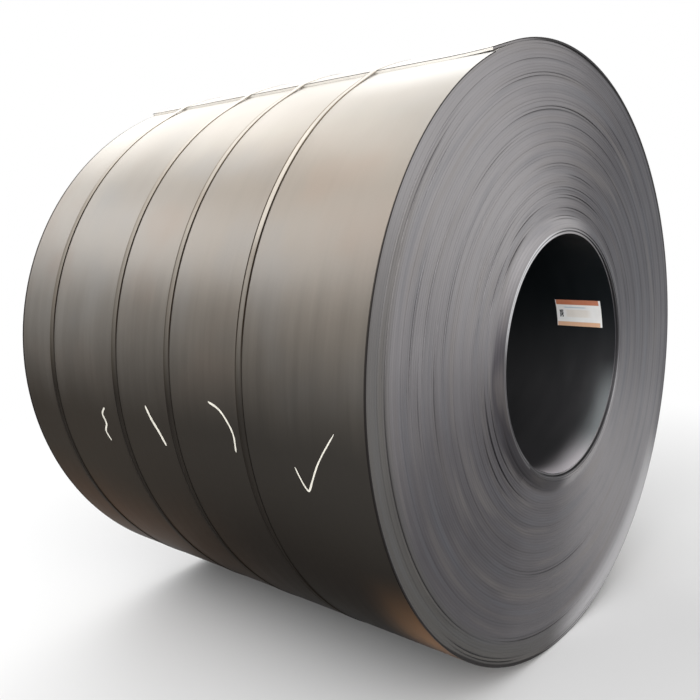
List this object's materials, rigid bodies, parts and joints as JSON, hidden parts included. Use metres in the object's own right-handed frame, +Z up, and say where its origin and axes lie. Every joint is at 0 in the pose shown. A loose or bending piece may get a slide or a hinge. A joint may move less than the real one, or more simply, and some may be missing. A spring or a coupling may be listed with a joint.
{
  "type": "steel coil",
  "caption": "Hot-rolled steel strip wound into a coil with an open bore, lying on its side, held by flat steel straps with crimped seals, with a paper tag in the bore.",
  "frame": {"origin": "on the floor, in the middle of the box that holds the coil", "axes": "+X along the coil's axis, toward the end with the tag; +Z up; +Y to the right when the tagged end is faced"},
  "size_m": [1.5674, 1.9208, 1.9248],
  "materials": {
    "mill_scale_steel": "dark grey mill scale, satin, with light rust",
    "strap_steel": "bare steel strap, satin",
    "seal_steel": "dark steel, satin",
    "label_paper": "matt white paper with two orange bands"
  },
  "bodies": {
    "root": {"coil": "mill_scale_steel", "strap_1": "strap_steel", "strap_2": "strap_steel", "strap_3": "strap_steel", "strap_4": "strap_steel", "seal_1": "seal_steel", "seal_2": "seal_steel", "seal_3": "seal_steel", "seal_4": "seal_steel", "bore_label": "label_paper"}
  },
  "joints": []
}
